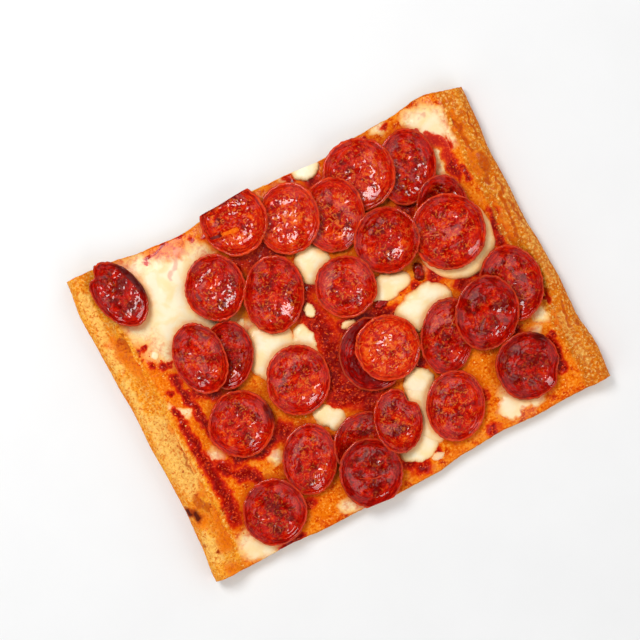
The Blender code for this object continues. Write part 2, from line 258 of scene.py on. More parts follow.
class Cover:
    """The top of solids as a smoothed field of heights, which can be read anywhere.

    Where another cover of the same grid is given, only what lies below it counts.
    """

    def __init__(self, tree, low, high, step, passes, below=None):
        self.low = low
        self.step = step
        columns = int((high[0] - low[0]) / step) + 2
        rows = int((high[1] - low[1]) / step) + 2
        field = np.full((rows, columns), np.nan)
        for row in range(rows):
            for column in range(columns):
                start = 1.0 if below is None else below.field[row, column] - MM
                spot = Vector((low[0] + column * step, low[1] + row * step, start))
                hit = tree.ray_cast(spot, Vector((0.0, 0.0, -1.0)))[0]
                if hit is not None:
                    field[row, column] = hit.z
        self.field = self.smoothed(self.filled(field), passes)

    @staticmethod
    def shifts(field):
        padded = np.pad(field, 1, mode="edge")
        rows, columns = field.shape
        return [padded[1 + r:1 + r + rows, 1 + c:1 + c + columns]
                for r in (-1, 0, 1) for c in (-1, 0, 1)]

    def filled(self, field):
        """Spreads known heights outward until every place has one."""
        while np.isnan(field).any():
            near = np.array(self.shifts(field))
            known = ~np.isnan(near)
            total = np.where(known, near, 0.0).sum(0)
            count = known.sum(0)
            spread = np.where(count > 0, total / np.maximum(count, 1), np.nan)
            field = np.where(np.isnan(field), spread, field)
        return field

    def smoothed(self, field, passes):
        for _ in range(passes):
            field = np.mean(self.shifts(field), axis=0)
        return field

    def read(self, x, y):
        rows, columns = self.field.shape
        column = np.clip((x - self.low[0]) / self.step, 0, columns - 1.001)
        row = np.clip((y - self.low[1]) / self.step, 0, rows - 1.001)
        c, r = column.astype(int), row.astype(int)
        a, b = column - c, row - r
        lower = self.field[r, c] * (1 - a) + self.field[r, c + 1] * a
        upper = self.field[r + 1, c] * (1 - a) + self.field[r + 1, c + 1] * a
        return lower * (1 - b) + upper * b


def quads(index):
    """Faces between neighbours in a grid of vertex numbers."""
    return np.stack([index[:-1, :-1], index[:-1, 1:], index[1:, 1:], index[1:, :-1]], -1).reshape(-1, 4)


def rim_loop(index):
    """The outer vertices of a grid, anticlockwise seen from above."""
    return np.concatenate([index[0, :-1], index[:-1, -1], index[-1, :0:-1], index[:0:-1, 0]])


def settle(name, mesh, node_names):
    """Makes a mesh a piece of the slice, which stands for the named solids."""
    thing = bpy.data.objects.new(name, mesh)
    bpy.context.scene.collection.objects.link(thing)
    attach(thing, "root")
    if node_names:
        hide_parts(*node_names)
    return thing


def piece(name, points, faces, attributes, material, node_names, slot):
    """Builds a mesh with its values at each vertex and settles it on the slice."""
    mesh = bpy.data.meshes.new(name)
    mesh.from_pydata([tuple(point) for point in points], [], [tuple(face) for face in faces])
    for label, values in attributes.items():
        values = np.asarray(values, np.float32)
        if values.ndim == 2:
            layer = mesh.attributes.new(label, "FLOAT_VECTOR", "POINT")
            layer.data.foreach_set("vector", values.ravel())
        else:
            layer = mesh.attributes.new(label, "FLOAT", "POINT")
            layer.data.foreach_set("value", values)
    mesh.materials.append(material)
    mesh.shade_smooth()
    return settle(name, mesh, node_names)


crust_low, crust_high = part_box("crust")
crust_cover = Cover(solid_tree("crust"), crust_low, crust_high, step=1.5 * MM, passes=3)


def along(samples, share):
    """Reads a row of evenly spaced samples at shares of its length, smoothly."""
    samples = np.asarray(samples)
    place = np.clip(share, 0.0, 1.0) * (len(samples) - 1)
    index = np.minimum(place.astype(int), len(samples) - 2)
    blend = ease(place - index)
    return samples[index] * (1.0 - blend) + samples[index + 1] * blend


def ragged(x, seed):
    """Small teeth that a knife leaves along a cut."""
    teeth = 0.34 * grain(x, 0.0 * x, 5.0 * MM, seed) + 0.26 * grain(x, 0.0 * x, 2.0 * MM, seed + 1.0)
    return MM * teeth


def within_cuts(x, share, setback):
    """The y at a share of the way from the near cut to the far one, at x."""
    low = -HALF_WIDTH - MM * along(NEAR_CUT, 0.5 + 0.5 * x / HALF_LENGTH) + setback
    high = HALF_WIDTH + MM * along(FAR_CUT, 0.5 + 0.5 * x / HALF_LENGTH) - setback
    return low + (high - low) * share


def left_end(y):
    return -HALF_LENGTH - MM * along(LEFT_END, 0.5 + 0.5 * y / HALF_WIDTH)


def right_end(y):
    return HALF_LENGTH + MM * along(RIGHT_END, 0.5 + 0.5 * y / HALF_WIDTH)


def dough_places():
    """Lays a grid over the slice, finer towards the rims: x and y of each vertex."""
    u, v = np.meshgrid(np.linspace(-1.0, 1.0, CRUST_COLUMNS), np.linspace(0.0, 1.0, CRUST_ROWS))
    crowded = u * (1.0 + RIM_CROWDING * (1.0 - u * u))
    x = crowded * HALF_LENGTH
    y = within_cuts(x, v, 0.0)
    bow = np.where(u < 0.0, -left_end(y), right_end(y)) - HALF_LENGTH
    x = x + bow * np.sign(u) * u ** 4
    torn = ragged(x, 80.0) * ease((v - 0.97) / 0.03) - ragged(x, 84.0) * ease((0.03 - v) / 0.03)
    return x, y + torn


def dough_relief(x, y, on_rim):
    """What the oven does to the rims: pebbled skin, long wrinkles, blisters and splits."""
    pebbles = 0.34 * grain(x, y, 5.2 * MM, 1.0) + 0.22 * grain(x, y, 2.3 * MM, 2.0)
    pebbles += 0.13 * grain(x, y, 1.2 * MM, 3.0)
    wrinkles = 0.30 * (1.0 - 2.0 * np.abs(grain(x * 2.2, y * 0.7, 6.0 * MM, 4.0)))
    blisters = 0.45 * bubbles(x, y, 6.5 * MM, 0.30, 5.0) + 0.26 * bubbles(x, y, 3.0 * MM, 0.42, 6.0)
    blisters += 0.42 * bubbles(x, y, 3.6 * MM, 0.85, 7.0) * ease((x - 0.09) / 0.02)
    splits = strongest(*strayed(x, y, 1.6, 90.0), RIM_SPLITS)
    swelling = sum(rise * blob(x, y, *spot) for rise, spot in RIM_SWELLINGS)
    pits = strongest(x, y, RIM_PITS)
    return MM * on_rim * (pebbles + wrinkles + blisters + swelling - 0.55 * splits - 0.8 * pits)


# Soft spots (x, y, reach) and strokes (x, y, x, y, reach) in millimetres.
RIM_SPLITS = [
    (118, 82, 120, 60, 2.2), (120, 46, 121, 38, 1.8), (124, 30, 122, 14, 1.9), (122, 12, 121, 2, 1.6),
    (126, 24, 127, 10, 1.3), (123, -8, 121, -24, 1.5), (126, -44, 124, -60, 1.4), (127, 82, 127, 66, 1.2),
    (-117, -18, -116, -36, 1.1), (-114, -84, -112, -98, 1.2), (125, 40, 126, 28, 1.5),
]
# How far each swelling rises, and its soft spot.
RIM_SWELLINGS = [(1.5, (122, 50, 8)), (1.0, (-126, -59, 7)), (1.2, (-121, 72, 9)), (1.0, (123, -76, 9))]
RIM_PITS = [
    (-126, -59.5, 3.2), (-129.5, -56, 2.2), (-122, -52, 2.6), (-125, -85, 1.4), (-119, 51, 2.2),
    (-127, 20, 1.3), (-124, -12, 1.2), (-120, -34, 1.2), (127, 60, 1.6), (119, -60, 1.5),
]
RIM_BROWN = [
    (123, 54, 122.5, 47, 5.5), (-121.5, -50, -121, -55, 4.0), (-119, 54, -117, 48, 4.0), (115, -79, 3.4),
    (-115, 58, -111, 50, 4.0), (120, 76, 5.0), (-124.5, -84.5, 1.8), (-121, -33, 1.4), (-128, -56, 5.0),
    (127, 20, 4.0), (-110, -98, 3.0), (122, -34, 3.0), (-129, -78, 3.0), (129, -60, 3.0), (-118, -58, 4.0),
]
RIM_CHAR = [
    (-126, -57.5, -125, -62, 4.4), (-130, -54.5, -129, -57, 3.0), (-109, -98, 1.6), (-12, -101, 1.4),
    (-124.5, -84.5, 1.0),
]
RIM_PALE = [
    (-123, 0, -122, -44, 11), (-127, 86, -127, 40, 7), (-127, -74, -126, -88, 7), (-119, -10, -117, -40, 8),
    (127, 36, 128, -30, 5), (122, -52, 124, -84, 5), (118, -30, 7), (-128, 30, -127, 0, 5),
]
TOAST = [
    (-124, 56, -114, 26, 8), (-112, 62, 7), (-108, 26, -105, -4, 11), (-102, -8, -101, -30, 6),
    (-114, -4, -112, -60, 5.5), (-112, -60, -118, -82, 9), (-124, -64, 8), (-119, -50, 6),
    (-96, -60, -99, -78, 8), (-84, -60, 7), (-80, 93, -60, 96, 6), (-46, 84, 5), (82, 96, 7),
    (38, 98, 7), (110, 28, 7), (104, 38, 7), (119, 84, 117, 46, 5), (117, 30, 117, -20, 5),
    (118, -50, 116, -60, 6), (60, -58, 62, -74, 11), (44, -84, 30, -96, 8), (16, -94, 7), (-57, -92, 12),
    (-36, -100, 6), (-50, -40, 8), (108, -88, 9), (92, -94, 8), (66, -94, 8), (-44, -34, 7),
    (118, 4, 112, -6, 5), (-60, -76, 6), (98, 74, 6), (52, -52, 8), (68, -56, 8), (-121, -98, 9),
    (-106, -82, -104, -96, 4), (-78, -103, 8), (-68, -84, 9),
]
CREAM = [
    (-100, 86, -104, 56, 20), (-88, 76, -94, 42, 25), (-72, 68, -78, 40, 22), (-55, 80, -52, 72, 13),
    (-70, 38, -50, 24, 12), (-98, 38, -92, 30, 10), (-48, 20, 16), (-105, -90, 16), (-98, -97, 11),
    (77, -81, 15), (70, -88, 9), (88, -90, 7), (-105, 37, 3.5), (-100, -33, 8), (-68, -50, 8),
    (-112, 4, -103, -3, 4.5), (112, -46, 9), (98, 68, 98, 54, 5), (24, -84, 5), (112, 92, 112, 70, 6),
    (103, 90, 17), (96, 94, 10), (76, 98, 8), (12, 96, 6), (-44, -96, -34, -98, 7), (105, -54, 6),
    (-90, 90, 12), (118, 36, 5), (109, 78, 6),
]
RED = [
    (-109, 2, -109, -8, 3.6), (-109, -8, -107, -31, 5.4), (-107, -31, -106, -54, 6.2),
    (-106, -54, -106, -66, 6.8), (-107, -72, 8), (-111, -64, 4.5), (-101, -40, -91, -52, 6),
    (-88, -50, -84, -57, 6), (-90, -41, -73, -44, 6), (-62, -84, 7), (-92, -103, -76, -100, 4),
    (-113, 42, 3.0), (-109, 43, 2.6), (-115, 38, 2.4), (-110, 31, 3.2), (-104, 29, 4), (-99, 29, 3),
    (-101, 20, -97, -10, 4.4), (-97, -10, -96, -26, 3.6), (-107, 12, 3.6), (-92, 6, 7), (-84, 1, 9),
    (-76, -7, 8), (-86, 89, -76, 92, 1.5), (-76, 92, -68, 97, 1.4), (-69, 95, -66, 88, 1.3),
    (-54, 89, 3.6), (-60, 96, 3), (-44, 88, 4), (-14, 26, -8, 6, 13), (-8, 6, -10, -15, 11),
    (-10, -15, -16, -28, 11), (-16, -28, -2, -46, 13), (4, 0, 9), (-4, -38, 12), (10, -40, 9),
    (-24, 58, 15), (-14, 62, 14), (-30, 72, 12), (28, 2, 8), (31, -8, 7), (-57, -39, 11), (-50, -46, 9),
    (-4, 32, 9), (-38, 62, 9), (-36, 44, 8), (38, 48, 10), (69, 46, 10), (66, 96, 3), (115, 22, 111, 4, 5.8),
    (97, 85, 3.5), (100, 80, 108, 70, 6.5), (106, 66, 106, 52, 5.6), (111, 55, 112, 45, 2.6),
    (66, 4, 8), (72, 4, 8), (80, -8, 9), (54, 3, 5), (46, 8, 6), (120, -34, 120, -41, 3.4),
    (111, -64, 109, -80, 5.8), (60, -74, 5), (58, -62, 3), (56, -95, 6), (8, -96, 8), (20, -90, 4),
    (2, -90, 9), (34, -40, 8), (-34, -60, 9), (90, -8, 6), (-70, -66, 4), (70, 58, 8), (80, 97, 3.4),
    (27, 88, 8), (14, 94, 5), (114, -60, 3), (26, -48, 7), (-30, -96, 4), (94, -48, 6), (-66, -40, 8),
    # The stroke from (12, 2) to (34, -5) is painted shadow: dark red in the gap along the upper edge of
    # slice 17.
    (12, 2, 34, -5, 7), (-20, -36, -8, -42, 9),
]
PINK = [
    (-62, 84, 5.5), (-64.6, 87, -75, 73, 3), (-97, -35, 7), (-68, -48, 6), (96, 82, 7), (104, 78, 6),
    (-110, 34, 4), (117, 22, 4), (103, 92, 4), (62, 10, 7), (-92, 38, 4), (-12, -24, 4),
]


def strongest(x, y, spots):
    """The strongest of the soft spots and strokes at each place."""
    found = np.zeros(x.shape)
    for spot in spots:
        at = blob(x, y, *spot) if len(spot) == 3 else stroke(x, y, spot[:4], spot[4])
        found = np.maximum(found, at)
    return found


def strayed(x, y, amount, seed):
    """Moves places about a little, so that what is laid there gets torn edges."""
    by_x = grain(x, y, 6.0 * MM, seed) + 0.6 * grain(x, y, 2.6 * MM, seed + 1.0)
    by_y = grain(x, y, 6.0 * MM, seed + 2.0) + 0.6 * grain(x, y, 2.6 * MM, seed + 3.0)
    return x + amount * MM * by_x, y + amount * MM * by_y


def nodes_named(*starts):
    return [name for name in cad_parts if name.startswith(starts)]


sausage_shadow = solid_tree(*nodes_named("pepperoni"), height=0.0)


def oiled(points):
    """1 under a slice of sausage, 0 beyond a reach from it: partly a real stain of the oil that runs out of
    the slice, partly painted warm shade under and beside it.
    """
    away = np.array([sausage_shadow.find_nearest(Vector((x, y, 0.0)))[3] for x, y in points[:, :2]])
    return ease(1.0 - away / GREASE_AND_SHADE_REACH)


def oven_marks(x, y):
    """How strongly each place is toasted, creamy, red with tomato (in one stroke, dark red of painted
    shadow) or veiled with pink.
    """
    x, y = strayed(x, y, 2.4, 70.0)
    lists = {"toast": TOAST, "cream": CREAM, "red": RED, "pink": PINK}
    return {label: strongest(x, y, spots) for label, spots in lists.items()}


def crust_mesh():
    x, y = dough_places()
    height = crust_cover.read(x * SKIN_INSET, y * SKIN_INSET)
    on_rim = ease((height - DOUGH_BED - 0.4 * MM) / (RIM_RISE * 0.35))
    height = height + dough_relief(x, y, on_rim)
    near_x, near_y = strayed(x, y, 1.6, 90.0)
    marks = {"char": strongest(near_x, near_y, RIM_CHAR), "pale": strongest(near_x, near_y, RIM_PALE),
             "brown": strongest(near_x, near_y, RIM_BROWN + RIM_SPLITS), **oven_marks(x, y)}
    index = np.arange(x.size).reshape(x.shape)
    loop = rim_loop(index)
    points = [np.stack([x, y, height], -1).reshape(-1, 3)]
    top = points[0][loop]
    ahead = np.roll(top, -1, 0) - np.roll(top, 1, 0)
    outward = np.stack([ahead[:, 1], -ahead[:, 0]], -1)
    outward /= np.linalg.norm(outward, axis=1)[:, None]
    on_end = ease((np.abs(outward[:, 0]) - 0.5) / 0.3)
    faces = [quads(index)]
    wall = [np.zeros(x.size)]
    upper = loop
    count = x.size
    for row in range(1, WALL_ROWS + 1):
        share = row / WALL_ROWS
        round_end = END_BULGE * math.sin(math.pi * share) - END_TUCK * share ** 3
        level = top[:, 2] * (1.0 - share)
        crumb = grain(top[:, 0] + top[:, 1], level * 1.6, 2.6 * MM, 8.0) * 0.7
        crumb += grain(top[:, 0] + top[:, 1], level, 1.2 * MM, 9.0) * 0.4
        middle = math.sin(math.pi * min(share, 0.97))
        cut = crumb * middle - CUT_TUCK * share ** 4
        reach = MM * (on_end * (round_end + 0.4 * crumb * middle) + (1.0 - on_end) * cut)
        ring = np.column_stack([top[:, :2] + outward * reach[:, None], level])
        lower = count + np.arange(len(loop))
        faces.append(np.stack([upper, lower, np.roll(lower, -1), np.roll(upper, -1)], -1))
        points.append(ring)
        wall.append(np.full(len(loop), share))
        count += len(loop)
        upper = lower
    points.append(np.array([[0.0, 0.0, 0.0]]))
    wall.append(np.ones(1))
    fan = np.stack([np.full(len(upper), count), np.roll(upper, -1), upper], -1)
    points = np.concatenate(points)
    faces = [tuple(face) for group in faces for face in group] + [tuple(face) for face in fan]
    fade = np.clip(1.0 - 3.0 * np.repeat(np.arange(1, WALL_ROWS + 1) / WALL_ROWS, len(loop)), 0.0, 1.0)
    marks = {label: np.concatenate([values.ravel(), fade * np.tile(values.ravel()[loop], WALL_ROWS), [0.0]])
             for label, values in marks.items()}
    marks["wall"] = np.concatenate(wall)
    return points, faces, marks


def dough_grain(recipe):
    """What baked dough shows at three sizes: patches, grains and pebbles of skin."""
    return recipe.noise(5.0, 5.0, 0.8), recipe.noise(1.5, 4.0, 0.4), recipe.cells(2.5)


def dough_colour(recipe):
    """Golden baked dough: pale grains of skin, orange patches, browner at the right end."""
    wide = recipe.noise(15.0, 4.0, 0.6)
    patch, fine, pebble = dough_grain(recipe)
    speck = recipe.noise(0.9, 2.0)
    to_right = recipe.node("ShaderNodeSeparateXYZ", {}, {"Vector": recipe.place}, "X").step(0.08, 0.12)
    pale = recipe.attribute("pale") + (patch - 0.5) + (wide - 0.5) * 0.5
    light = pebble.step(0.34, 0.10) * fine.step(0.36, 0.62)
    return recipe.coats(
        recipe.mix(wide.step(0.36, 0.64), srgb(240, 136, 14), srgb(252, 168, 44)),
        (patch.step(0.52, 0.72) * 0.7, 255, 200, 96),
        (patch.step(0.47, 0.32) * 0.6, 238, 118, 8),
        (pale.step(0.20, 0.90) * 0.8, 255, 200, 100),
        (to_right * 0.60, 208, 112, 14),
        (light * (0.30 + to_right * 0.35), 255, 216, 130),
        (pebble.step(0.46, 0.68) * (0.25 + to_right * 0.35), 186, 78, 4),
        (fine.step(0.48, 0.36) * 0.75, 214, 90, 4),
        (fine.step(0.54, 0.65) * 0.6, 255, 214, 124),
        (speck.step(0.34, 0.24) * 0.5, 164, 74, 10))


def crust_finish():
    recipe = Recipe("baked_crust")
    patch, fine, pebble = dough_grain(recipe)
    toast = recipe.attribute("toast") + (patch - 0.5) * 1.2 + (fine - 0.5) * 1.4
    red = recipe.attribute("red") + (fine - 0.5) * 0.7
    brown = recipe.attribute("brown") + (fine - 0.5) * 1.4 + (patch - 0.5) * 0.8
    char = recipe.attribute("char") + (fine - 0.5) * 0.5
    wall = recipe.attribute("wall")
    skin = recipe.coats(
        dough_colour(recipe),
        (toast.step(0.20, 0.80) * (fine * 1.2 + 0.05), 242, 116, 4),
        (toast.step(0.80, 1.25) * 0.6, 202, 62, 2),
        (red.step(0.05, 0.45) * 0.85, 226, 76, 4),
        (red.step(0.35, 0.80), 170, 16, 0),
        (brown.step(0.15, 0.75) * (fine * 1.3 + 0.05), 184, 60, 0),
        (char.step(0.02, 0.40) * 0.70, 168, 48, 2),
        (char.step(0.35, 0.90) * 0.92, 78, 14, 4))
    crumb = recipe.mix(recipe.noise(2.4, 4.0).step(0.35, 0.62), srgb(224, 150, 66), srgb(254, 220, 150))
    cut = recipe.coats(crumb, (wall.step(0.62, 0.95), 196, 104, 28), (wall.step(0.22, 0.02), 248, 168, 54))
    normal = recipe.node("ShaderNodeNewGeometry", {}, {}, "Normal")
    across = recipe.node("ShaderNodeSeparateXYZ", {}, {"Vector": normal}, "Y")
    on_cut = (across * across).step(0.30, 0.62) * wall.step(0.01, 0.06)
    colour = recipe.coats(skin, (on_cut, cut), (wall.step(0.45, 1.0) * 0.6, 150, 66, 14))
    height = fine * 0.75 + patch * 0.3 + pebble.step(0.62, 0.05) * 0.35
    return recipe.finish(base_color=colour, roughness=0.58 - patch * 0.20, specular_ior_level=0.0,
                         coat_weight=0.12, coat_roughness=0.25, subsurface_weight=0.04,
                         subsurface_scale=0.0015, subsurface_radius=(1.0, 0.5, 0.25),
                         normal=recipe.bump(height, 0.8 * MM))


piece("crust_dough", *crust_mesh(), crust_finish(), ["crust"], "baked_crust")

# The bed: crushed tomato spread thin on the raw dough, with cheese melted into it.
# It fries in its own oil, so it is orange and gold where the cheese toasted, cream where
# the cheese lies thin, and deep red in wet streaks where the tomato stayed bare.

BED_COLUMNS = 236
BED_ROWS = 200
BED_FROM_LEFT = 16.0 * MM
BED_FROM_RIGHT = 12.5 * MM
BED_THICKNESS = 1.3 * MM
BED_SETBACK = 0.5 * MM
BED_FEATHER = 7.0 * MM
BED_WANDER = 2.2 * MM
BED_DIP = 0.6 * MM


def bed_mesh():
    u, v = np.meshgrid(np.linspace(0.0, 1.0, BED_COLUMNS), np.linspace(0.0, 1.0, BED_ROWS))
    rough_y = HALF_WIDTH * (2.0 * v - 1.0)
    wander = BED_WANDER * grain(rough_y, v * 0.0, 14.0 * MM, 3.0)
    low = left_end(rough_y) + BED_FROM_LEFT + wander
    high = right_end(rough_y) - BED_FROM_RIGHT - wander
    x = low + (high - low) * u
    y = within_cuts(x, v, BED_SETBACK)
    marks = oven_marks(x, y)
    feather = ease(np.minimum(x - low, high - x) / BED_FEATHER)
    lumps = 0.34 * grain(x, y, 6.0 * MM, 21.0) + 0.26 * grain(x, y, 2.9 * MM, 22.0)
    chunks = 0.45 * bubbles(x, y, 4.2 * MM, 0.6, 24.0) * ease(marks["red"] * 1.6)
    base = crust_cover.read(x, y)
    top = base + (BED_THICKNESS + MM * (lumps + chunks)) * feather - BED_DIP * (1.0 - feather)
    index = np.arange(x.size).reshape(x.shape)
    loop = rim_loop(index)
    bottom = np.minimum(base + 0.2 * MM, top - 0.25 * MM)
    points = np.concatenate([np.stack([x, y, top], -1).reshape(-1, 3),
                             np.stack([x, y, bottom], -1).reshape(-1, 3)])
    under = index + x.size
    lower = loop + x.size
    side = np.stack([loop, lower, np.roll(lower, -1), np.roll(loop, -1)], -1)
    faces = np.concatenate([quads(index), quads(under)[:, ::-1], side])
    marks["edge"] = 1.0 - feather
    marks["pale"] = strongest(x, y, RIM_PALE)
    marks["oiled"] = oiled(points[:x.size])
    return points, faces, {label: np.tile(values.ravel(), 2) for label, values in marks.items()}


def bed_grain(recipe):
    """What the bed shows at two sizes: patches and grains."""
    return recipe.noise(3.6, 5.0, 1.0), recipe.noise(1.35, 4.0, 0.4)


def bed_colour(recipe):
    """Tomato and cheese fried together: orange and gold, cream where thin, red where bare."""
    wide = recipe.noise(9.0, 4.0, 0.8)
    patch, fine = bed_grain(recipe)
    toast = recipe.attribute("toast") + (wide - 0.5) * 0.8 + (patch - 0.5) * 0.7
    cream = recipe.attribute("cream") + (wide - 0.5) * 0.6 + (patch - 0.5) * 0.30
    pink = recipe.attribute("pink") + (patch - 0.5) * 0.7
    stain_and_shade = recipe.attribute("oiled") + (patch - 0.5) * 0.8
    red = recipe.attribute("red") + (patch - 0.5) * 0.55 + (wide - 0.5) * 0.45 + (fine - 0.5) * 0.25
    fried = recipe.ramp(wide * 0.46 + patch * 0.34 + fine * 0.20, [
        (0.38, 186, 34, 2), (0.44, 218, 74, 3), (0.50, 240, 118, 8), (0.57, 252, 164, 40),
        (0.66, 255, 200, 98)])
    tomato = recipe.ramp(red - (fine - 0.5) * 0.5, [
        (0.00, 240, 116, 8), (0.16, 228, 78, 6), (0.36, 206, 38, 4), (0.60, 178, 14, 1),
        (0.90, 136, 4, 0)])
    tomato = recipe.coats(tomato, (patch.step(0.52, 0.68) * 0.5, 218, 44, 8),
                          (fine.step(0.54, 0.66) * 0.6, 240, 88, 32))
    return recipe.coats(
        fried,
        (toast.step(0.20, 0.90) * 0.6, 242, 122, 6),
        (toast.step(0.85, 1.35) * 0.6, 204, 60, 2),
        (fine.step(0.54, 0.66) * 0.6, 255, 196, 84),
        (fine.step(0.46, 0.34) * 0.65, 210, 64, 2),
        (cream.step(0.12, 0.55), 255, 212, 132),
        (cream.step(0.45, 0.90), 255, 232, 180),
        (pink.step(0.25, 0.85) * 0.55, 238, 150, 128),
        # Redder near and under the slices: partly a real grease stain, partly painted shade of the slices.
        (stain_and_shade.step(0.15, 0.95) * 0.6, 226, 84, 6),
        (red.step(-0.16, 0.34), tomato))


def bed_finish():
    recipe = Recipe("tomato_bed")
    patch, fine = bed_grain(recipe)
    edge = recipe.attribute("edge") + (patch - 0.5) * 0.7
    colour = recipe.mix(edge.step(0.35, 0.95), bed_colour(recipe), dough_colour(recipe))
    height = patch * 0.5 + fine * 0.45 + fine.ridges() * 0.2
    return recipe.finish(base_color=colour, roughness=0.42 + fine * 0.2, specular_ior_level=0.0,
                         coat_weight=0.10 + recipe.attribute("red").step(0.2, 0.6) * 0.30,
                         coat_roughness=0.12, subsurface_weight=0.04, subsurface_scale=0.001,
                         subsurface_radius=(1.0, 0.3, 0.15), normal=recipe.bump(height, 0.8 * MM))


bed_points, bed_faces, bed_marks = bed_mesh()
bed = piece("tomato_bed", bed_points, bed_faces, bed_marks, bed_finish(), ["tomato_sauce"],
            "tomato_sauce")

# The mozzarella: torn fresh cheese that melted and ran together into low pools.
# Thick pools stay white with a round lip; thin ones let the tomato through, and their
# edges take an orange tint from the oil. They baked onto the tomato and the dough.

CHEESE_SEGMENTS = 110
CHEESE_RINGS = 30
CHEESE_UNDER_RINGS = 6
CHEESE_SINK = 0.5 * MM
CUT_SETBACK = 0.3 * MM
STAIN_DEPTH = 0.55

# Centre x and y, thickness, how soft the lip is (1 fades out, 0 stands round), how tan the
# cheese is, and its reach at equal steps of angle. Lengths in millimetres.
POOLS = {
    "mozzarella_01": (-78, 62, 1.8, 1.0, 0.15, [37, 38, 38, 33, 38, 40, 38, 33, 38, 41, 46, 40]),
    "mozzarella_02": (-45, 9, 3.0, 0.35, 0.1, [20, 22, 17, 14, 12, 15, 22, 18]),
    "mozzarella_03": (4, 43, 2.6, 0.2, 0.05, [12, 11, 14, 12, 10, 12, 13, 11]),
    "mozzarella_04": (36, 10, 2.6, 0.1, 0.25, [18, 10, 9, 8, 11, 9, 8, 9]),
    "mozzarella_05": (52, -9, 3.8, 0.05, 0.1, [19, 15, 11, 12, 19, 17, 12, 18]),
    "mozzarella_06": (24, -67, 3.0, 0.2, 0.25, [8, 18, 21, 11, 8, 15, 21, 10]),
    "mozzarella_07": (102, 84, 1.8, 0.9, 0.4, [12, 14, 15, 14, 12, 13, 26, 13]),
    "mozzarella_08": (26, 96, 3.2, 0.05, 0.15, [9, 8, 6, 8, 9, 8, 7, 8]),
    "mozzarella_09": (86, 19, 3.4, 0.0, 0.2, [25, 24, 24, 23, 23, 24, 26, 26]),
    "mozzarella_10": (-101, -91, 1.8, 0.8, 0.4, [17, 14, 8, 8, 12, 13, 12, 15]),
    "mozzarella_11": (76, -88, 1.8, 0.8, 0.4, [18, 12, 9, 11, 16, 13, 10, 13]),
    "mozzarella_12": (-28, -44, 2.0, 0.4, 0.35, [9, 6, 9, 11, 9, 6, 9, 10]),
}

# Loose dabs that lie between the pools, in the same terms.
DABS = [
    (-10, 19, 1.8, 0.1, 0.3, [3.2, 4.0, 4.8, 4.0, 3.2, 4.0, 4.8, 4.0]),
    (7, 1, 1.6, 0.2, 0.7, [5.0, 3.0, 2.6, 3.6, 4.6, 3.4, 2.6, 3.8]),
    (-105, 37, 0.6, 0.45, 0.0, [2.8, 2.6, 2.9, 2.5, 2.7, 2.6, 2.8, 2.7]),
    (19, -94, 1.0, 0.6, 0.5, [4.5, 3.0, 2.6, 3.4, 4.2, 3.0, 2.4, 3.2]),
    (-51, 30, 1.2, 0.4, 0.5, [3.0, 4.5, 3.0, 2.4, 3.0, 4.4, 3.2, 2.6]),
    (12, -85, 2.2, 0.2, 0.2, [12, 11, 9, 10, 13, 9, 8, 9]),
    (-20, 2, 2.0, 0.35, 0.2, [5, 8, 13, 10, 8, 7, 13, 6]),
    (29, -49, 2.7, 0.15, 0.2, [10, 9, 9, 9, 10, 10, 12, 9]),
]


def around(samples, angle):
    """Reads a closed ring of samples at an array of angles, smoothly."""
    samples = np.asarray(samples, float)
    place = (angle / math.tau) % 1.0 * len(samples)
    index = place.astype(int) % len(samples)
    blend = ease(place - place.astype(int))
    return samples[index] * (1.0 - blend) + samples[(index + 1) % len(samples)] * blend


def poled(rings):
    """Rings of vertices or of their values as one row, with one vertex at each pole."""
    return np.concatenate([rings[0][:1]] + rings[1:-1] + [rings[-1][:1]])


def turned(rows):
    """Closes rings of vertices, from a pole over the edge to the other pole."""
    faces = []
    count = 1
    above = None
    for row in rows[1:-1]:
        ring = count + np.arange(len(row))
        if above is None:
            faces.append(np.stack([np.zeros(len(row), int), ring, np.roll(ring, -1)], -1))
        else:
            faces.append(np.stack([above, ring, np.roll(ring, -1), np.roll(above, -1)], -1))
        count += len(row)
        above = ring
    faces.append(np.stack([above, np.full(len(above), count), np.roll(above, -1)], -1))
    return poled(rows), [tuple(face) for group in faces for face in group]


bed_tree = BVHTree.FromPolygons([Vector(point) for point in bed_points],
                                [tuple(face) for face in bed_faces])
bed_cover = Cover(bed_tree, crust_low, crust_high, step=1.2 * MM, passes=2)


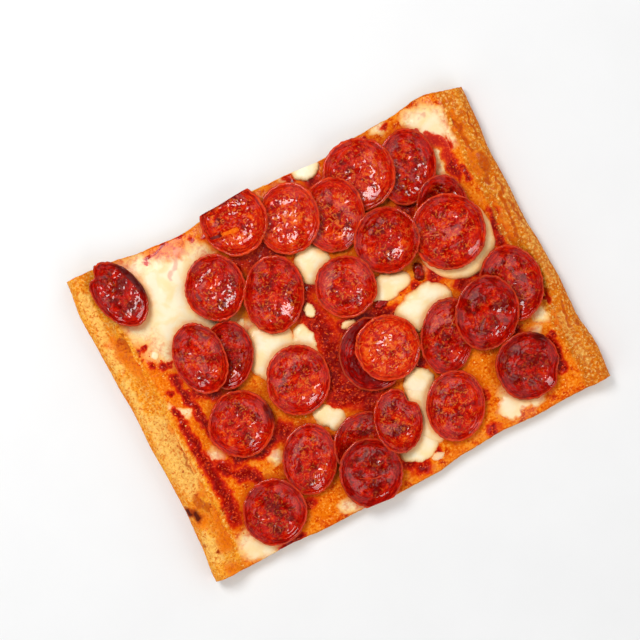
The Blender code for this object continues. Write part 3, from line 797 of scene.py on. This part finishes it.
def pool_mesh(number, pool):
    centre_x, centre_y, thickness, softness, tan, reaches = pool
    angle = np.arange(CHEESE_SEGMENTS) * math.tau / CHEESE_SEGMENTS
    lobes = grain(np.cos(angle), np.sin(angle), 0.42, 40.0 + number)
    nibbles = grain(np.cos(angle), np.sin(angle), 0.16, 41.0 + number)
    reach = around(reaches, angle) * (1.0 + 0.07 * lobes) + 0.5 * nibbles
    rows, lips = [], []
    shares = [(ring / CHEESE_RINGS) ** 0.8 for ring in range(CHEESE_RINGS + 1)]
    under = [1.0 - ring / CHEESE_UNDER_RINGS for ring in range(1, CHEESE_UNDER_RINGS + 1)]
    for share, on_top in [(share, True) for share in shares] + [(share, False) for share in under]:
        x = MM * (centre_x + reach * share * np.cos(angle))
        y = MM * (centre_y + reach * share * np.sin(angle))
        y = np.clip(y, within_cuts(x, 0.0, CUT_SETBACK), within_cuts(x, 1.0, CUT_SETBACK))
        ground = bed_cover.read(x, y)
        if on_top:
            dome = (1.0 - share ** (5.0 - 2.5 * softness)) ** (0.45 + 0.9 * softness)
            lumps = 1.0 + 0.16 * grain(x, y, 9.0 * MM, 31.0 + number)
            height = ground + MM * (thickness * dome * lumps - 0.35 * share ** 6)
            height += MM * 0.10 * grain(x, y, 2.6 * MM, 52.0) * dome
        else:
            height = ground - CHEESE_SINK
        rows.append(np.stack([x, y, height], -1))
        lips.append(np.full(len(angle), share if on_top else 1.0))
    points, faces = turned(rows)
    lip = poled(lips)
    marks = oven_marks(points[:, 0], points[:, 1])
    marks["red"] *= STAIN_DEPTH
    return points, faces, {**marks, "lip": lip, "soft": np.full(len(points), softness),
                           "tan": np.full(len(points), tan), "oiled": oiled(points)}


def cheese_finish():
    recipe = Recipe("melted_mozzarella")
    wide = recipe.noise(11.0, 3.0, 0.5)
    patch = recipe.noise(3.8, 4.0, 0.7)
    fine = recipe.noise(1.3, 3.0)
    soft = recipe.attribute("soft")
    sheet = soft.step(0.5, 0.8)
    lip = recipe.attribute("lip") + (wide - 0.5) * 0.5 * soft + (patch - 0.5) * 0.16
    stain_and_shade = recipe.attribute("oiled") + (patch - 0.5) * 0.5
    pink = recipe.attribute("pink") + (patch - 0.5) * 0.9
    bare = lip.step(0.60, 0.92) * sheet
    thin = (recipe.attribute("cream") + (patch - 0.5) * 0.4 + (wide - 0.5) * 0.4).step(0.42, 0.10)
    stain = (recipe.attribute("red") + (patch - 0.5) * 0.4).step(0.14, 0.34) * sheet
    colour = recipe.coats(
        recipe.mix(wide.step(0.40, 0.66), srgb(255, 240, 208), srgb(255, 227, 172)),
        (recipe.attribute("tan") * (0.45 + wide * 0.6), 255, 208, 142),
        (lip.step(0.50, 0.98) * 0.7, 255, 204, 130),
        (lip.step(0.86, 1.00) * 0.7, 238, 130, 44),
        # Orange near and under the slices: partly a real grease stain, partly painted warm shade, so that
        # the cheese in their shade reads brown.
        (stain_and_shade.step(0.0, 0.8) * 0.55, 255, 204, 138),
        (stain_and_shade.step(0.45, 1.0) * 0.6, 255, 158, 86),
        (pink.step(0.30, 0.90) * 0.6, 226, 150, 128),
        (bare.above(thin * sheet).above(stain), bed_colour(recipe)))
    height = wide * 0.9 + patch * 0.35 + fine * 0.08
    return recipe.finish(base_color=colour, roughness=0.36 + patch * 0.14, specular_ior_level=0.15,
                         coat_weight=0.25, coat_roughness=0.15, subsurface_weight=0.15,
                         subsurface_scale=0.002, subsurface_radius=(1.0, 0.8, 0.6),
                         normal=recipe.bump(height, 0.6 * MM, 0.5))


mozzarella = cheese_finish()
for number, (name, pool) in enumerate(POOLS.items(), start=1):
    piece(f"mozzarella_pool_{number:02d}", *pool_mesh(number, pool), mozzarella, [name],
          "melted_mozzarella")
for number, dab in enumerate(DABS, start=len(POOLS) + 1):
    piece(f"mozzarella_dab_{number:02d}", *pool_mesh(number, dab), mozzarella, [], "melted_mozzarella")

# The pepperoni: thin slices of cured sausage laid on raw, which shrank and cupped.
# The meat is coarse, red and marbled with fat that fried to orange; the casing edge
# tightened into a thin bright lip, and the cups hold a film of oil.

DISC_SEGMENTS = 150
DISC_RINGS = 40
DISC_UNDER_RINGS = 7
DISC_EDGE_RINGS = 5
DISC_THICKNESS = 1.9
# How far the middle of a slice sags onto what lies under it, how far out from the middle
# it does so, and over what share it then rises. A clinging slice does so nearly to its lip.
LEAST_SAG = 0.9 * MM
MOST_SAG = 3.5 * MM
SAG_REACH = 0.35
SAG_FADE = 0.60
CLINGING = {1: 0.70}
# Beyond this share of the way out, heights are read from here, within the solid's edge.
READ_WITHIN = 0.94
# Shares of the way out where it is probed how far a slice stands clear, to lower it by that.
PROBED = (0.0, 0.3, 0.5, 0.7, 0.85)

# Number: centre x and y, half width, half length, direction of the long axis in degrees,
# tone of the meat (0 dark, 1 orange; below 0 is painted shade, for a slice in the shadow of
# another), and the extra height of the lip, all in millimetres where they are lengths.
DISCS = {
    1: (-107.0, 79.3, 13.7, 22.0, 103, 0.05, 0.9),
    2: (-26.0, 88.0, 19.6, 21.8, 93, 0.65, 1.2),
    3: (3.5, 73.6, 18.6, 21.4, 63, 0.74, 0.4),
    4: (28.3, 63.3, 18.9, 22.0, 63, 0.60, 0.3),
    5: (53.0, 78.0, 21.3, 22.0, 63, 0.55, 0.6),
    6: (80.5, 69.0, 17.4, 22.5, 63, 0.30, 1.0),
    7: (49.8, 35.5, 19.2, 19.5, 63, 0.45, 1.0),
    8: (85.0, 23.3, 22.2, 22.4, 63, 0.50, 0.6),
    9: (89.0, 39.0, 15.0, 18.0, 63, 0.20, 0.2),
    10: (-54.0, 56.5, 17.5, 19.8, 73, 0.40, 1.1),
    11: (-24.5, 37.2, 18.0, 23.0, 63, 0.45, 0.6),
    12: (15.9, 21.8, 18.2, 18.3, 63, 0.54, 0.9),
    13: (-81.2, 23.0, 15.6, 21.7, 87, 0.35, 1.1),
    14: (-65.5, 17.4, 15.0, 20.4, 63, 0.15, 0.5),
    15: (-34.9, -15.0, 18.9, 21.0, 63, 0.50, 1.0),
    16: (-77.2, -23.0, 19.4, 19.9, 63, 0.42, 1.2),
    17: (21.8, -22.3, 19.2, 19.6, 153, 0.84, 0.2),
    # Slice 18 is darkened by a tone below 0: painted shade, where slice 17 shades it.
    18: (12.0, -21.5, 20.0, 22.0, 63, -0.30, 0.4),
    19: (83.8, -30.5, 18.8, 22.0, 53, 0.10, 0.7),
    20: (105.0, -21.4, 17.8, 22.6, 83, 0.30, 0.6),
    21: (56.5, -32.2, 15.8, 22.8, 58, 0.30, 0.6),
    22: (91.5, -69.7, 18.9, 20.2, 63, 0.05, 0.8),
    23: (42.0, -71.4, 17.6, 20.9, 63, 0.48, 0.7),
    24: (-50.0, -60.4, 16.3, 21.1, 63, 0.40, 0.9),
    25: (-21.2, -84.0, 18.8, 20.8, 68, 0.08, 1.3),
    26: (-16.0, -68.6, 19.6, 20.2, 63, 0.25, 0.3),
    27: (7.3, -63.8, 14.4, 18.7, 73, 0.45, 0.7),
    28: (-83.1, -79.0, 18.8, 19.6, 63, 0.26, 0.9),
}

# Notches in an edge: number, direction in degrees, and depth as a share of the slice.
NICKS = {1: (128, 0.16), 22: (-35, 0.10), 27: (30, 0.22)}
NICK_SPREAD = 24.0

# Where an edge scorched: number, direction in degrees, half the spread of angle, strength.
SCORCHED = {1: (20, 75, 1.0), 16: (-5, 50, 0.7), 22: (40, 32, 0.8), 25: (200, 40, 0.4), 2: (150, 40, 0.4)}
FAR_OVERHANG = 2.0 * MM

# Folds in the slices: its number, the ends of the fold, its reach and its rise.
FOLDS = [
    (2, (-37, 94, -20, 90), 6.0, 2.0), (2, (-43, 84, -27, 82), 3.0, -2.4),
    (17, (22, -22, 22, -21), 17.0, 2.4),
    (8, (80, 33, 92, 30), 3.0, -0.8), (8, (79, 27, 93, 25), 2.4, 0.7), (13, (-92, 32, -92, 12), 4.0, 0.8),
    (6, (78, 80, 84, 58), 5.0, -0.9), (5, (60, 84, 66, 72), 4.0, -0.7), (22, (99, -58, 104, -62), 4.0, 1.2),
    (27, (12, -52, 16, -58), 4.0, 0.8), (20, (112, -10, 114, -26), 3.5, 0.7), (3, (0, 84, 12, 80), 4.0, 0.8),
    (1, (-114, 92, -104, 96), 3.5, 1.0), (24, (-58, -52, -48, -46), 3.5, 0.7),
    (10, (-62, 62, -52, 66), 3.0, 0.6),
]


def off_by(angle, turn, direction):
    """Degrees between places round a turned slice and a direction."""
    return np.abs((np.degrees(angle) + turn - direction + 180.0) % 360.0 - 180.0)


def disc_wobble(number, turn, angle):
    """How far the edge of a slice strays from its oval at each angle, as a factor."""
    wobble = 1.0 + 0.035 * np.array([noise.noise((1.3 * math.cos(a), 1.3 * math.sin(a), 5.0 + number))
                                     for a in angle])
    if number in NICKS:
        direction, depth = NICKS[number]
        wobble = wobble * (1.0 - depth * ease(1.0 - off_by(angle, turn, direction) / NICK_SPREAD))
    return wobble


def ringed(angle, share, turns, rings, seed):
    """Bumps drawn out round the slice, as casing wrinkles are."""
    cosines, sines = np.cos(angle) * turns, np.sin(angle) * turns
    return np.array([noise.noise((a, b, share * rings + seed)) for a, b in zip(cosines, sines)])


def disc_relief(x, y, angle, share, number):
    """Marbled meat in the middle, tight rings of wrinkles by the lip. In millimetres."""
    meat = 0.20 * grain(x, y, 5.0 * MM, 60.0 + number) + 0.14 * grain(x, y, 2.3 * MM, 61.0 + number)
    meat = meat + 0.085 * grain(x, y, 1.3 * MM, 63.0 + number)
    ridges = 0.16 * (1.0 - 2.6 * np.abs(grain(x, y, 3.0 * MM, 62.0 + number)))
    inner = 1.0 - ease((share - 0.66) / 0.2)
    outer = ease((share - 0.50) / 0.2) * (1.0 - ease((share - 0.90) / 0.08))
    rings = 0.18 * ringed(angle, share, 2.6, 12.0, number) + 0.07 * ringed(angle, share, 5.0, 28.0, number)
    lip = 0.20 * math.exp(-((share - 0.965) / 0.022) ** 2) - 0.14 * math.exp(-((share - 0.90) / 0.03) ** 2)
    folds = np.zeros(x.shape)
    for fold_number, ends, reach, rise in FOLDS:
        if fold_number == number:
            folds = folds + rise * stroke(x, y, ends, reach)
    return (meat + ridges) * inner + rings * outer + lip + folds


def disc_mesh(number, row):
    centre_x, centre_y, half_width, half_length, turn, tone, lip_rise = row
    node_name = f"pepperoni_{number:02d}"
    low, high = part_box(node_name)
    cover = Cover(solid_tree(node_name), low, high, step=MM, passes=4)
    others = solid_tree(*(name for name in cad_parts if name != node_name))
    ground = Cover(others, low, high, step=MM, passes=8, below=cover)
    angle = np.arange(DISC_SEGMENTS) * math.tau / DISC_SEGMENTS
    wobble = disc_wobble(number, turn, angle)
    cos_turn, sin_turn = math.cos(math.radians(turn)), math.sin(math.radians(turn))

    def places(spread):
        lengthwise = wobble * half_length * spread * np.cos(angle)
        crosswise = wobble * half_width * spread * np.sin(angle)
        return (MM * (centre_x + lengthwise * cos_turn - crosswise * sin_turn),
                MM * (centre_y + lengthwise * sin_turn + crosswise * cos_turn))

    def clearance(x, y):
        return cover.read(x, y) - DISC_THICKNESS * MM - ground.read(x, y)

    cling = CLINGING.get(number, SAG_REACH)
    loose = max(0.0, min(clearance(*places(share)).min() for share in PROBED))
    profile = [((ring / DISC_RINGS) ** 0.75, 0.0) for ring in range(DISC_RINGS + 1)]
    for step in range(1, DISC_EDGE_RINGS + 1):
        swing = math.pi * step / (DISC_EDGE_RINGS + 1)
        profile.append((1.0 + 0.025 * math.sin(swing), 0.5 - 0.5 * math.cos(swing)))
    profile += [(1.0 - ring / DISC_UNDER_RINGS, 1.0) for ring in range(DISC_UNDER_RINGS + 1)]
    fray = np.array([noise.noise((a * 9.0, number, 0.5)) for a in angle])
    direction, spread_of_angle, strength = SCORCHED.get(number, (0.0, 1.0, 0.0))
    burnt = strength * ease(1.0 - off_by(angle, turn, direction) / spread_of_angle)
    rows, rho, under, swirl, scorch = [], [], [], [], []
    for share, depth in profile:
        spread = share * (1.0 + 0.022 * fray * share ** 6)
        x, y = places(spread)
        y = np.clip(y, within_cuts(x, 0.0, 0.0), within_cuts(x, 1.0, -FAR_OVERHANG))
        pull = min(1.0, READ_WITHIN / max(share, 0.01))
        read_x = centre_x * MM + (x - centre_x * MM) * pull
        read_y = centre_y * MM + (y - centre_y * MM) * pull
        top = cover.read(read_x, read_y) - loose
        gap = clearance(read_x, read_y) - loose
        sag = np.clip(gap, LEAST_SAG, MOST_SAG) * (1.0 - ease((share - cling) / SAG_FADE))
        rise = lip_rise * ease((share - 0.70) / 0.30) ** 1.5
        relief = disc_relief(x, y, angle, share, number) if depth < 1.0 else 0.0
        height = top - sag + MM * (rise + relief * (1.0 - depth) - DISC_THICKNESS * depth)
        rows.append(np.stack([x, y, height], -1))
        rho.append(np.full(len(angle), min(share, 1.0)))
        under.append(np.full(len(angle), depth))
        scorch.append(burnt * ease((share - 0.55) / 0.4))
        swirl.append(MM * np.stack([7.0 * np.cos(angle), 7.0 * np.sin(angle),
                                    np.full(len(angle), 44.0 * share + 31.0 * number)], -1))
    points, faces = turned(rows)
    marks = {"rho": rho, "under": under, "swirl": swirl, "scorch": scorch}
    marks = {label: poled(rings) for label, rings in marks.items()}
    marks["tone"] = np.full(len(points), tone)
    return points, faces, marks


def pepperoni_finish():
    recipe = Recipe("pepperoni_meat")
    rho = recipe.attribute("rho")
    tone = recipe.attribute("tone")
    swirl = recipe.attribute("swirl", "Vector")
    wide = recipe.noise(8.0, 3.0, 0.4)
    patch = recipe.noise(4.0, 4.0, 1.0)
    fine = recipe.noise(1.4, 4.0, 1.2, rough=0.62)
    grain_of_meat = recipe.noise(3.3, 3.0, 2.0)
    streak = recipe.noise(2.2, 4.0, 0.5, where=swirl)
    thread = recipe.noise(1.1, 2.0, 0.3, where=swirl)
    outer = rho.step(0.62, 0.84)
    # Painted sheen: dull mauve patches in the middle of a slice, standing for a broad dim reflection on its
    # oil.
    painted_sheen = recipe.noise(6.0, 2.0, 0.6).step(0.50, 0.68) * (1.0 - outer)
    edge = rho + (streak - 0.5) * 0.05
    groove = edge.step(0.885, 0.91) * (1.0 - edge.step(0.925, 0.95))
    scorch = recipe.attribute("scorch") + (patch - 0.5) * 0.5
    meat = recipe.ramp(wide * 0.40 + patch * 0.40 + fine * 0.20 + (tone - 0.62) * 0.14, [
        (0.38, 118, 2, 0), (0.44, 164, 5, 0), (0.50, 198, 15, 1), (0.56, 224, 46, 5),
        (0.63, 248, 106, 26)])
    rim = recipe.ramp(streak * 0.65 + thread * 0.35 + (tone - 0.5) * 0.12, [
        (0.36, 122, 2, 0), (0.45, 170, 6, 0), (0.53, 202, 18, 1), (0.61, 226, 46, 5),
        (0.72, 244, 100, 30)])
    meat = recipe.coats(
        meat,
        (grain_of_meat.step(0.54, 0.63) * (0.12 + tone * 0.80), 248, 130, 46),
        (fine.step(0.60, 0.72) * (0.10 + tone * 0.60), 250, 152, 96),
        (fine.step(0.42, 0.28) * 0.5, 104, 1, 0),
        (outer * (0.45 + wide.step(0.38, 0.60) * 0.40), rim),
        (painted_sheen * 0.07, 190, 84, 70),
        (groove * 0.35, 128, 4, 0),
        (edge.step(0.955, 0.985) * 0.30, 240, 96, 48),
        (scorch.step(0.20, 0.75) * 0.85, 66, 6, 4),
        # Painted shade: the wall and underside of a slice darkened to deep red.
        (recipe.attribute("under").step(0.10, 0.60) * 0.9, 104, 4, 1))
    wrinkle = fine.ridges() * (1.0 - outer) + thread.ridges() * outer
    height = wrinkle * 0.7 + patch * 0.5 + grain_of_meat.ridges() * 0.45
    film = recipe.noise(7.0, 2.0, 0.5).step(0.38, 0.50)
    return recipe.finish(base_color=meat, roughness=0.36 + fine * 0.20,
                         specular_ior_level=0.0, subsurface_weight=0.02,
                         subsurface_scale=0.001, subsurface_radius=(1.0, 0.2, 0.1),
                         coat_weight=film * (0.90 - outer * 0.60) + 0.08, coat_roughness=0.09,
                         normal=recipe.bump(height, 0.55 * MM))


sausage = pepperoni_finish()
for number, row in DISCS.items():
    piece(f"pepperoni_slice_{number:02d}", *disc_mesh(number, row), sausage,
          [f"pepperoni_{number:02d}"], "pepperoni")

# Loose scraps of the meat, in the terms of the pools, and where their noise starts.
SCRAP_SEED = 40
SCRAPS = [
    (58.8, 10.0, 3.2, 0.2, 0.0, [3.0, 5.2, 5.6, 3.4, 3.0, 5.0, 5.8, 3.6]),
    (30.0, 3.4, 2.0, 0.3, 0.0, [5.2, 3.6, 2.6, 3.8, 5.0, 3.4, 2.6, 3.6]),
]
for number, scrap in enumerate(SCRAPS, start=1):
    points, faces, marks = pool_mesh(SCRAP_SEED + number, scrap)
    piece(f"pepperoni_scrap_{number}", points, faces, {"rho": 0.0 * marks["lip"]}, sausage, [],
          "pepperoni")

# The small bits: grains of crushed tomato on the bare sauce, crumbs of toasted cheese, and
# beads of oil that ran out of the sausage. They lie where nothing covers the bed, baked on.

SEEN_FROM = 0.08


def open_places(points):
    """1 where a vertex of the top of the bed lies under nothing, 0 elsewhere."""
    above = solid_tree(*nodes_named("pepperoni", "mozzarella"))
    shown = np.ones(len(points))
    shown[len(points) // 2:] = 0.0
    for place in range(len(points) // 2):
        spot = Vector((points[place][0], points[place][1], SEEN_FROM))
        if above.ray_cast(spot, Vector((0.0, 0.0, -1.0)))[0] is not None:
            shown[place] = 0.0
    return shown


def bits_tree(name, material):
    """Nodes that strew small flat lumps over a surface by its value 'strewn' and paint them."""
    tree = bpy.data.node_groups.new(name, "GeometryNodeTree")
    for label, kind in (("Ground", "Geometry"), ("Amount", "Float"), ("Seed", "Int"),
                        ("Smallest", "Vector"), ("Largest", "Vector")):
        tree.interface.new_socket(label, in_out="INPUT", socket_type="NodeSocket" + kind)
    tree.interface.new_socket("Bits", in_out="OUTPUT", socket_type="NodeSocketGeometry")
    graph = Graph(tree)
    given = graph.node("NodeGroupInput", {}, {}, "Ground")
    share = graph.node("GeometryNodeInputNamedAttribute", {"data_type": "FLOAT"}, {"Name": "strewn"})
    points = graph.node("GeometryNodeDistributePointsOnFaces", {}, {
        "Mesh": given, "Density": share * given.beside("Amount"), "Seed": given.beside("Seed")})
    lump = graph.node("GeometryNodeMeshIcoSphere", {}, {"Radius": 1.0, "Subdivisions": 2})
    size = graph.node("FunctionNodeRandomValue", {"data_type": "FLOAT_VECTOR"}, {
        "Min": given.beside("Smallest"), "Max": given.beside("Largest"), "Seed": 3})
    placed = graph.node("GeometryNodeInstanceOnPoints", {}, {
        "Points": points, "Instance": lump, "Rotation": points.beside("Rotation"), "Scale": size})
    turn = graph.node("FunctionNodeRandomValue", {"data_type": "FLOAT_VECTOR"}, {
        "Min": (0.0, 0.0, 0.0), "Max": (0.0, 0.0, math.tau), "Seed": 5})
    turned_bits = graph.node("GeometryNodeRotateInstances", {}, {"Instances": placed, "Rotation": turn})
    real = graph.node("GeometryNodeRealizeInstances", {}, {"Geometry": turned_bits})
    smooth = graph.node("GeometryNodeSetShadeSmooth", {}, {"Geometry": real})
    painted = graph.node("GeometryNodeSetMaterial", {}, {"Geometry": smooth, "Material": material})
    graph.node("NodeGroupOutput", {}, {"Bits": painted})
    return tree


def strew(name, share, amount, smallest, largest, seed, material):
    """Strews bits on the bed, so many to a square metre, as one piece. Sizes are half lengths in mm."""
    ground = bed.data.copy()
    ground.attributes.new("strewn", "FLOAT", "POINT").data.foreach_set("value", share.astype(np.float32))
    thing = bpy.data.objects.new(name + "_ground", ground)
    bpy.context.scene.collection.objects.link(thing)
    tree = bits_tree(name, material)
    modifier = thing.modifiers.new("bits", "NODES")
    modifier.node_group = tree
    values = {"Amount": amount, "Seed": seed, "Smallest": [MM * side for side in smallest],
              "Largest": [MM * side for side in largest]}
    for socket in tree.interface.items_tree:
        if socket.name in values:
            modifier[socket.identifier] = values[socket.name]
    thing.update_tag()
    finished = thing.evaluated_get(bpy.context.evaluated_depsgraph_get())
    mesh = bpy.data.meshes.new_from_object(finished)
    thing.modifiers.remove(modifier)
    bpy.data.objects.remove(thing)
    mesh.name = name
    return settle(name, mesh, [])


def bit_finish(name, dark, light, roughness, gloss):
    """A small lump in two tones."""
    recipe = Recipe(name)
    colour = recipe.mix(recipe.noise(2.6, 3.0).step(0.38, 0.62), dark, light)
    return recipe.finish(base_color=colour, roughness=roughness, specular_ior_level=0.0,
                         coat_weight=gloss, coat_roughness=0.08)


shown = open_places(bed_points)
strew("tomato_grains", shown * np.clip(1.4 * bed_marks["red"], 0.0, 1.0), 70000.0, (0.35, 0.35, 0.20),
      (1.10, 0.70, 0.40), 11, bit_finish("tomato_grain", srgb(186, 16, 0), srgb(236, 74, 20), 0.4, 0.35))
strew("toasted_crumbs", shown * np.clip(bed_marks["toast"], 0.0, 1.0), 26000.0, (0.30, 0.30, 0.15),
      (0.80, 0.60, 0.30), 12, bit_finish("toasted_crumb", srgb(236, 112, 12), srgb(255, 204, 112), 0.5, 0.2))
strew("oil_beads", shown * (0.25 + 0.75 * np.clip(bed_marks["red"], 0.0, 1.0)), 14000.0,
      (0.20, 0.20, 0.12), (0.60, 0.60, 0.30), 13,
      bit_finish("oil_bead", srgb(214, 66, 8), srgb(246, 132, 20), 0.1, 1.0))

# The table and the light: a pale smooth top, a soft lamp high on the upper left of the
# picture with a weak one above it, wide weak ones low on the other sides, and a dim even
# room. The camera looks straight down, turned so that the slice lies as in the picture.

TABLE_SIZE = 16.0
TABLE_DROP = 0.2 * MM
ROOM_LIGHT = 0.12

# Azimuth and elevation in degrees, distance and size in metres, and power.
LAMPS = {
    "key_lamp": (112.0, 58.0, 1.1, 0.42, 7.0),
    "high_lamp": (108.0, 76.0, 1.2, 0.8, 0.6),
    "near_lamp": (-66.0, 36.0, 1.4, 1.4, 9.0),
    "left_lamp": (196.0, 32.0, 1.4, 1.4, 7.4),
    "right_lamp": (20.0, 32.0, 1.4, 1.4, 6.6),
}

# The camera stands so far above a level at CAMERA_BASE, where the view is VIEW_WIDTH wide.
CAMERA_DISTANCE = 0.95
CAMERA_BASE = 0.010
VIEW_WIDTH = 0.384
VIEW_CENTRE = (-0.007, 0.011)
VIEW_TURN = -27.0
SENSOR = 36.0


def table():
    recipe = Recipe("pale_table")
    veil = recipe.noise(60.0, 3.0)
    colour = recipe.mix(veil, srgb(236, 236, 236), srgb(242, 242, 242))
    material = recipe.finish(base_color=colour, roughness=0.6)
    bpy.ops.mesh.primitive_grid_add(x_subdivisions=8, y_subdivisions=8, size=TABLE_SIZE,
                                    location=(0.0, 0.0, -TABLE_DROP))
    top = bpy.context.object
    top.name = "table_top"
    top.data.materials.append(material)


def lamp(name, azimuth, elevation, distance, size, power):
    """A square soft lamp that looks at the slice from its direction."""
    light = bpy.data.lights.new(name, "AREA")
    light.shape = "SQUARE"
    light.size = size
    light.energy = power
    thing = bpy.data.objects.new(name, light)
    bpy.context.scene.collection.objects.link(thing)
    level = math.cos(math.radians(elevation))
    away = Vector((level * math.cos(math.radians(azimuth)), level * math.sin(math.radians(azimuth)),
                   math.sin(math.radians(elevation))))
    thing.location = away * distance
    thing.rotation_euler = away.to_track_quat("Z", "Y").to_euler()


def studio():
    for name, settings in LAMPS.items():
        lamp(name, *settings)
    world = bpy.data.worlds.new("room")
    world.use_nodes = True
    background = world.node_tree.nodes["Background"].inputs
    background["Color"].default_value = (1.0, 1.0, 1.0, 1.0)
    background["Strength"].default_value = ROOM_LIGHT
    bpy.context.scene.world = world
    bpy.context.scene.view_settings.view_transform = "Standard"


def camera():
    eye = bpy.data.cameras.new("overhead_camera")
    eye.sensor_width = SENSOR
    eye.lens = SENSOR * CAMERA_DISTANCE / VIEW_WIDTH
    thing = bpy.data.objects.new("overhead_camera", eye)
    bpy.context.scene.collection.objects.link(thing)
    thing.location = (VIEW_CENTRE[0], VIEW_CENTRE[1], CAMERA_DISTANCE + CAMERA_BASE)
    thing.rotation_euler = (0.0, 0.0, math.radians(VIEW_TURN))
    bpy.context.scene.camera = thing


table()
studio()
camera()
